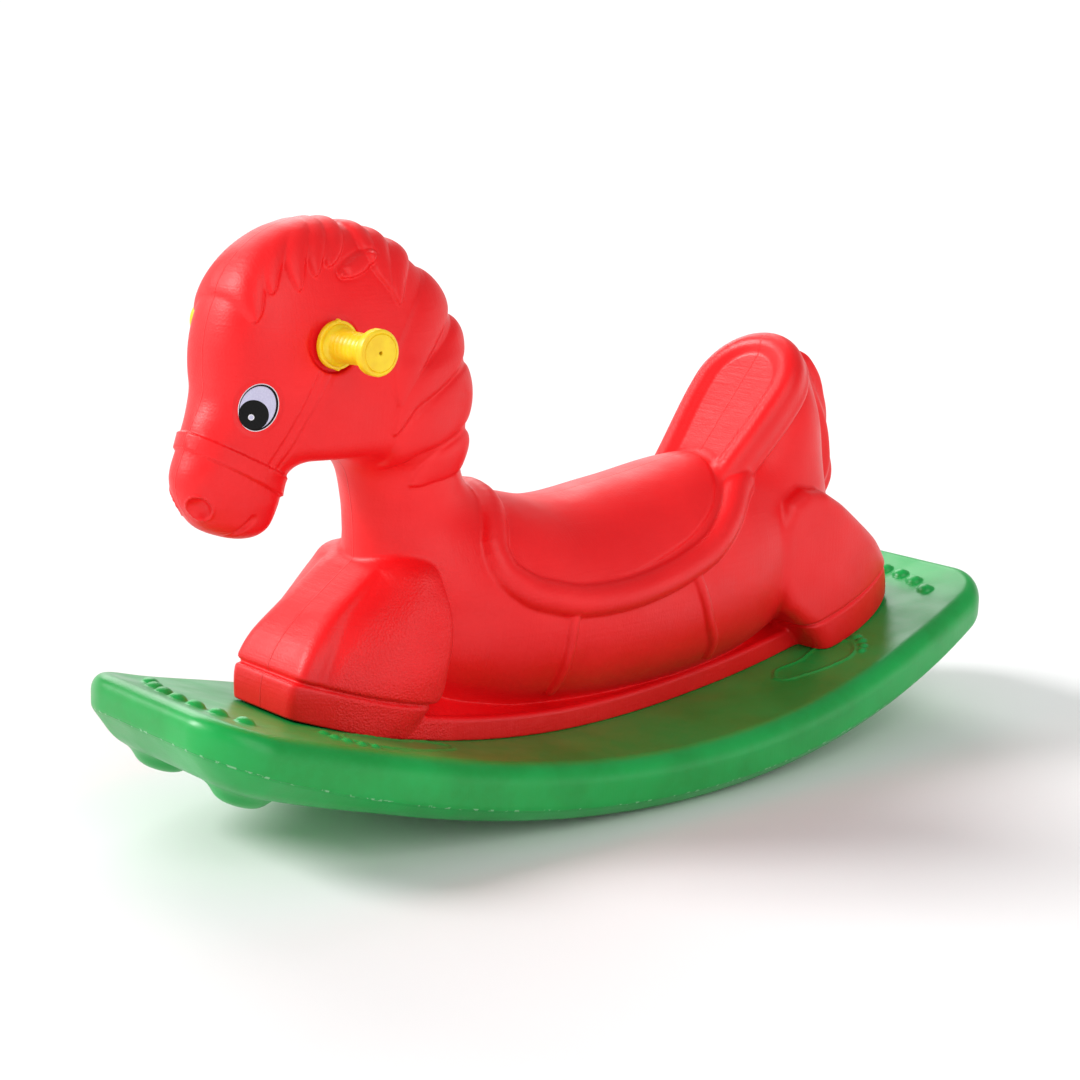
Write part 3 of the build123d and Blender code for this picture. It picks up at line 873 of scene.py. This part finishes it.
def close_ends(obj):
    """Welds the rings of no radius into single points and smooths all but sharp edges."""
    edit = bmesh.new()
    edit.from_mesh(obj.data)
    bmesh.ops.remove_doubles(edit, verts=edit.verts, dist=1e-6)
    bmesh.ops.recalc_face_normals(edit, faces=edit.faces)
    for face in edit.faces:
        face.smooth = True
    for edge in edit.edges:
        if len(edge.link_faces) == 2 and edge.calc_face_angle() > radians(38):
            edge.smooth = False
    edit.to_mesh(obj.data)
    edit.free()


# The eye's plane leans through this point on the middle plane of the head
EYE_ORIGIN = np.array([323.0, 0.0, EYE_Z])
# Printed layers of an eye: (centre across, centre along, half width, half length, material number)
EYE_LAYERS = [(0.0, 0.0, 13.5, 17.0, 0), (0.0, 0.0, 12.95, 16.45, 1), (-0.45, -0.25, 11.9, 15.3, 2),
              (-1.3, -5.9, 10.3, 10.3, 1), (-2.3, -8.0, 2.1, 2.1, 0), (-2.3, -8.0, 1.5, 1.5, 2)]
STICKER_LIFT, PRINT_LIFT = 0.25, 0.06
EYE_RINGS, EYE_SPOKES = 14, 120


def on_head(across, along, lift):
    """Points of the eye's plane moved straight onto the left side of the head."""
    u = across * cos(EYE_SLANT) + along * sin(EYE_SLANT)
    v = along * cos(EYE_SLANT) - across * sin(EYE_SLANT)
    out = np.array([EYE_FORWARD, EYE_SIDEWAYS, 0.0])
    right = np.array([-EYE_SIDEWAYS, EYE_FORWARD, 0.0])
    points = EYE_ORIGIN + u[:, None] * right + v[:, None] * np.array([0, 0, 1.0]) + 62.0 * out
    for _ in range(14):
        gap = horse_field(*points.T) - lift
        points = points - 0.8 * gap[:, None] * out
    return points


def eye_sticker(name, side, materials):
    """Oval vinyl sticker with its printed layers, each a hair above the one below."""
    points, faces, kinds = [], [], []
    turn = np.arange(EYE_SPOKES) * 2 * pi / EYE_SPOKES
    for number, (across, along, half, length, kind) in enumerate(EYE_LAYERS):
        lift = STICKER_LIFT + number * PRINT_LIFT
        start = sum(len(p) for p in points)
        rings = [(ring / EYE_RINGS, lift) for ring in range(1, EYE_RINGS + 1)] + [(1.0, -0.3)]
        points.append(on_head(np.array([across]), np.array([along]), np.array([lift])))
        for share, height in rings:
            x = across + half * share * np.cos(turn)
            y = along + length * share * np.sin(turn)
            points.append(on_head(x, y, np.full(EYE_SPOKES, height)))
        for i in range(EYE_SPOKES):
            j = (i + 1) % EYE_SPOKES
            faces.append((start, start + 1 + i, start + 1 + j))
            for ring in range(len(rings) - 1):
                low = start + 1 + ring * EYE_SPOKES
                faces.append((low + i, low + EYE_SPOKES + i, low + EYE_SPOKES + j, low + j))
        kinds += [kind] * (len(faces) - len(kinds))
    points = np.concatenate(points) * MM
    if side < 0:
        points[:, 1] *= -1
        faces = [face[::-1] for face in faces]
    mesh = bpy.data.meshes.new(name)
    mesh.from_pydata(points.tolist(), [], faces)
    for material in materials:
        mesh.materials.append(material)
    mesh.polygons.foreach_set("material_index", kinds)
    mesh.polygons.foreach_set("use_smooth", [True] * len(faces))
    mesh.update()
    return piece(name, mesh)


# --- Materials ---
def new_shader(name, roughness=0.4, metallic=0.0):
    material = bpy.data.materials.new(name)
    material.use_nodes = True
    tree = material.node_tree
    shader = tree.nodes["Principled BSDF"]
    shader.inputs["Roughness"].default_value = roughness
    shader.inputs["Metallic"].default_value = metallic
    return material, tree, shader


def node(tree, kind, inputs, **settings):
    """New node whose inputs are set to values or linked to the outputs of other nodes."""
    made = tree.nodes.new("ShaderNode" + kind)
    for key, value in settings.items():
        setattr(made, key, value)
    for key, value in inputs.items():
        if isinstance(value, bpy.types.NodeSocket):
            tree.links.new(value, made.inputs[key])
        else:
            made.inputs[key].default_value = value
    return made


def places(tree):
    """Position on the piece, in metres."""
    return node(tree, "TexCoord", {}).outputs["Object"]


def noise(tree, scale, detail=2.0, stretch=(1, 1, 1)):
    at = node(tree, "Mapping", {"Vector": places(tree), "Scale": stretch}).outputs["Vector"]
    inputs = {"Vector": at, "Scale": scale, "Detail": detail}
    return node(tree, "TexNoise", inputs).outputs["Fac"]


def ramp(tree, value, low, high, at_low=0.0, at_high=1.0):
    inputs = {"Value": value, "From Min": low, "From Max": high, "To Min": at_low,
              "To Max": at_high}
    return node(tree, "MapRange", inputs, interpolation_type="SMOOTHSTEP").outputs["Result"]


def calc(tree, operation, a, b=0.0):
    return node(tree, "Math", {0: a, 1: b}, operation=operation).outputs[0]


def blend_colours(tree, share, a, b):
    return node(tree, "Mix", {0: share, 6: a, 7: b}, data_type="RGBA").outputs[2]


def bumps(tree, layers):
    """Normal from bump layers given as (height, distance in metres)."""
    normal = None
    for height, distance in layers:
        inputs = {"Height": height, "Distance": distance}
        if normal is not None:
            inputs["Normal"] = normal
        normal = node(tree, "Bump", inputs).outputs["Normal"]
    return normal


def finish(tree, shader, colour, roughness, layers):
    tree.links.new(colour, shader.inputs["Base Color"])
    tree.links.new(roughness, shader.inputs["Roughness"])
    tree.links.new(bumps(tree, layers), shader.inputs["Normal"])


def parting_line(tree, distance, half_width):
    """1 on a mould line, 0 away from it."""
    return ramp(tree, distance, 0.25 * half_width, half_width, 1.0, 0.0)


def red_plastic():
    """Blow-moulded red: leathery grain on the legs, fine brushed lines, a seam down the middle."""
    material, tree, shader = new_shader("red_plastic")
    shader.inputs["Specular IOR Level"].default_value = 0.4
    at = node(tree, "SeparateXYZ", {0: places(tree)})
    side = calc(tree, "ABSOLUTE", at.outputs["Y"])
    seam = parting_line(tree, side, 0.0007)
    cloud = noise(tree, 9.0, 3.0)
    colour = blend_colours(tree, ramp(tree, cloud, 0.35, 0.65), (0.84, 0.003, 0.006, 1),
                           (0.92, 0.006, 0.009, 1))
    on_seam = calc(tree, "MULTIPLY", seam, 0.35)
    colour = blend_colours(tree, on_seam, colour, (0.55, 0.004, 0.007, 1))
    rough = ramp(tree, noise(tree, 26.0, 4.0), 0.3, 0.7, 0.36, 0.48)
    on_leg = calc(tree, "MULTIPLY", ramp(tree, at.outputs["X"], 0.185, 0.2),
                  ramp(tree, side, 0.045, 0.06))
    on_leg = calc(tree, "MULTIPLY", on_leg, ramp(tree, at.outputs["Z"], 0.225, 0.19))
    grain = node(tree, "TexVoronoi", {"Vector": places(tree), "Scale": 620.0}).outputs["Distance"]
    leather = calc(tree, "MULTIPLY", grain, ramp(tree, on_leg, 0.0, 1.0, 0.22, 1.0))
    pits = noise(tree, 1500.0, 2.0)
    around = noise(tree, 16.0, 3.0, (1, 1, 34))
    along = noise(tree, 16.0, 3.0, (34, 3, 1))
    waves = noise(tree, 55.0, 1.0)
    finish(tree, shader, colour, rough, [(waves, 0.0004), (around, 0.00017), (along, 0.00014),
                                         (leather, 0.00042), (pits, 0.00005), (seam, 0.0004)])
    return material


def green_plastic():
    """Blow-moulded green: cloudy colour, faint ripples, a mould line low on the side."""
    material, tree, shader = new_shader("green_plastic")
    at = node(tree, "SeparateXYZ", {0: places(tree)})
    rise = calc(tree, "SUBTRACT", at.outputs["Z"], ROCK_RADIUS * MM)
    reach = calc(tree, "SQRT", calc(tree, "ADD", calc(tree, "POWER", at.outputs["X"], 2.0),
                                    calc(tree, "POWER", rise, 2.0)))
    height = calc(tree, "SUBTRACT", ROCK_RADIUS * MM, reach)
    from_line = calc(tree, "ABSOLUTE", calc(tree, "SUBTRACT", height, PARTING_HEIGHT * MM))
    seam = parting_line(tree, from_line, 0.0006)
    flash = calc(tree, "MULTIPLY", parting_line(tree, from_line, 0.0011),
                 ramp(tree, noise(tree, 190.0, 2.0), 0.56, 0.62))
    cloud = ramp(tree, noise(tree, 13.0, 4.0), 0.36, 0.64)
    colour = blend_colours(tree, cloud, (0.0, 0.30, 0.042, 1), (0.0, 0.38, 0.062, 1))
    fine = ramp(tree, noise(tree, 120.0, 3.0), 0.42, 0.62)
    colour = blend_colours(tree, calc(tree, "MULTIPLY", fine, 0.12), colour, (0.001, 0.42, 0.09, 1))
    colour = blend_colours(tree, calc(tree, "MULTIPLY", flash, 0.6), colour, (0.35, 0.72, 0.40, 1))
    rough = ramp(tree, noise(tree, 30.0, 4.0), 0.3, 0.7, 0.30, 0.42)
    streaks = noise(tree, 22.0, 3.0, (30, 1, 1))
    grain = noise(tree, 900.0, 2.0)
    waves = noise(tree, 42.0, 1.0)
    raised = calc(tree, "ADD", calc(tree, "MULTIPLY", seam, 0.5), flash)
    finish(tree, shader, colour, rough, [(waves, 0.0003), (streaks, 0.00008), (grain, 0.00008),
                                         (raised, 0.0005)])
    return material


def yellow_plastic():
    """Injection-moulded yellow with faint turned rings and a speckle of grain."""
    material, tree, shader = new_shader("yellow_plastic")
    shader.inputs["Subsurface Weight"].default_value = 0.12
    shader.inputs["Subsurface Radius"].default_value = (0.004, 0.002, 0.0005)
    cloud = ramp(tree, noise(tree, 90.0, 3.0), 0.35, 0.65)
    colour = blend_colours(tree, cloud, (0.90, 0.56, 0.003, 1), (0.96, 0.66, 0.008, 1))
    rough = ramp(tree, noise(tree, 160.0, 3.0), 0.3, 0.7, 0.32, 0.44)
    rings = noise(tree, 12.0, 2.0, (1, 90, 1))
    grain = noise(tree, 1400.0, 2.0)
    finish(tree, shader, colour, rough, [(rings, 0.00012), (grain, 0.00006)])
    return material


def vinyl(name, dark, light):
    """Printed vinyl: a smooth film with faint ripples and pinhead specks."""
    material, tree, shader = new_shader(name)
    shader.inputs["Specular IOR Level"].default_value = 0.18
    specks = ramp(tree, noise(tree, 900.0, 2.0), 0.35, 0.75)
    colour = blend_colours(tree, specks, dark, light)
    rough = ramp(tree, noise(tree, 220.0, 2.0), 0.3, 0.7, 0.28, 0.40)
    finish(tree, shader, colour, rough, [(noise(tree, 160.0, 1.0), 0.00012),
                                         (noise(tree, 1600.0, 1.0), 0.00002)])
    return material


def metal(name, dark, light, low, high, stretch):
    """Bare or plated metal with drawn lines and a mottled finish."""
    material, tree, shader = new_shader(name, metallic=1.0)
    patch = ramp(tree, noise(tree, 420.0, 4.0), 0.35, 0.65)
    rough = ramp(tree, noise(tree, 240.0, 4.0), 0.3, 0.7, low, high)
    lines = noise(tree, 70.0, 3.0, stretch)
    finish(tree, shader, blend_colours(tree, patch, dark, light), rough,
           [(lines, 0.00006), (noise(tree, 2600.0, 2.0), 0.00002)])
    return material


def studio_floor():
    material, tree, shader = new_shader("studio_floor")
    shader.inputs["Specular IOR Level"].default_value = 0.2
    patch = ramp(tree, noise(tree, 1.5, 2.0), 0.3, 0.7)
    colour = blend_colours(tree, patch, (0.90, 0.90, 0.90, 1), (0.92, 0.92, 0.92, 1))
    rough = ramp(tree, noise(tree, 6.0, 2.0), 0.3, 0.7, 0.75, 0.85)
    finish(tree, shader, colour, rough, [(noise(tree, 300.0, 2.0), 0.00005)])
    return material


def dress(obj, material):
    obj.data.materials.clear()
    obj.data.materials.append(material)


# --- Studio ---
FLOOR_HALF = 40.0
CAMERA_TARGET = Vector((0.0548, 0.0044, 0.1908))
CAMERA_DISTANCE = 1.80
CAMERA_AROUND = radians(47.87)
CAMERA_UP = radians(12.15)
CAMERA_ROLL = radians(2.1)
CAMERA_LENS = 75.9
# Soft lights far off: (name, around from +X, above the floor, strength, width), angles in degrees
LIGHTS = [("key", -42, 34, 2.6, 22), ("rim", -116, 33, 1.15, 40), ("fill", 78, 38, 0.9, 50)]
SKY, HORIZON_GLOW = 0.34, 1.05


def add_floor():
    corners = [(-FLOOR_HALF, -FLOOR_HALF, 0), (FLOOR_HALF, -FLOOR_HALF, 0),
               (FLOOR_HALF, FLOOR_HALF, 0), (-FLOOR_HALF, FLOOR_HALF, 0)]
    mesh = bpy.data.meshes.new("floor")
    mesh.from_pydata(corners, [], [(0, 1, 2, 3)])
    floor = piece("floor", mesh)
    dress(floor, studio_floor())


def add_lights():
    for name, around, above, strength, width in LIGHTS:
        light = bpy.data.lights.new(name, "SUN")
        light.energy = strength
        light.angle = radians(width)
        lamp = bpy.data.objects.new(name, light)
        towards = Vector((cos(radians(around)) * cos(radians(above)),
                          sin(radians(around)) * cos(radians(above)), sin(radians(above))))
        lamp.rotation_euler = towards.to_track_quat("Z", "Y").to_euler()
        bpy.context.scene.collection.objects.link(lamp)
    world = bpy.data.worlds.new("studio")
    world.use_nodes = True
    tree = world.node_tree
    towards = node(tree, "TexCoord", {}).outputs["Generated"]
    above = node(tree, "SeparateXYZ", {0: towards}).outputs["Z"]
    background = tree.nodes["Background"]
    background.inputs["Color"].default_value = (1, 1, 1, 1)
    tree.links.new(ramp(tree, above, 0.08, 0.45, HORIZON_GLOW, SKY), background.inputs["Strength"])
    bpy.context.scene.world = world


def add_camera():
    data = bpy.data.cameras.new("camera")
    data.lens = CAMERA_LENS
    data.sensor_width = 36.0
    camera = bpy.data.objects.new("camera", data)
    bpy.context.scene.collection.objects.link(camera)
    back = Vector((cos(CAMERA_AROUND) * cos(CAMERA_UP), sin(CAMERA_AROUND) * cos(CAMERA_UP),
                   sin(CAMERA_UP)))
    right = Vector((0, 0, 1)).cross(back).normalized()
    turned = Matrix((right, back.cross(right), back)).transposed().to_4x4()
    roll = Matrix.Rotation(CAMERA_ROLL, 4, "Z")
    camera.matrix_world = Matrix.Translation(CAMERA_TARGET + back * CAMERA_DISTANCE) @ turned @ roll
    bpy.context.scene.camera = camera


def take_over(obj, node_name, body):
    """The piece stands for a CAD node, which it hides, and moves with its body."""
    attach(obj, body)
    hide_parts(node_name)


def build_horse():
    horse = skin("horse_shell", horse_field, (-372, -96, 40), (400, 96, 458), 1.6, 188000)
    take_over(horse, "horse_body", "horse")
    dress(horse, red_plastic())


def build_rocker():
    rocker = skin("rocker_shell", rocker_field, (-422, -152, -24), (422, 152, 140), 2.0, 150000)
    take_over(rocker, "rocker_base", "horse")
    dress(rocker, green_plastic())


def build_handles():
    yellow = yellow_plastic()
    for name, side in (("left", 1), ("right", -1)):
        grip = handle("grip_" + name, side)
        take_over(grip, "handle_" + name, "handlebar")
        dress(grip, yellow)


def build_eyes():
    white = vinyl("vinyl_white", (0.80, 0.76, 0.82, 1), (0.88, 0.86, 0.90, 1))
    black = vinyl("vinyl_black", (0.001, 0.001, 0.001, 1), (0.003, 0.003, 0.004, 1))
    lavender = vinyl("vinyl_lavender", (0.55, 0.53, 0.72, 1), (0.62, 0.60, 0.78, 1))
    for name, side in (("left", 1), ("right", -1)):
        eye = eye_sticker("eye_" + name, side, (white, black, lavender))
        take_over(eye, "eye_decal_" + name, "horse")


def finish_metal():
    steel = metal("steel_tube", (0.42, 0.43, 0.45, 1), (0.55, 0.56, 0.58, 1),
                  0.25, 0.42, (1, 60, 1))
    zinc = metal("zinc_plate", (0.50, 0.52, 0.56, 1), (0.68, 0.69, 0.70, 1),
                 0.30, 0.50, (20, 20, 4))
    for name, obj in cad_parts.items():
        if name == "handle_tube":
            dress(obj, steel)
        elif name.startswith("base_"):
            dress(obj, zinc)


build_horse()
build_rocker()
build_handles()
build_eyes()
finish_metal()
add_floor()
add_lights()
add_camera()
bpy.context.scene.view_settings.view_transform = "Standard"
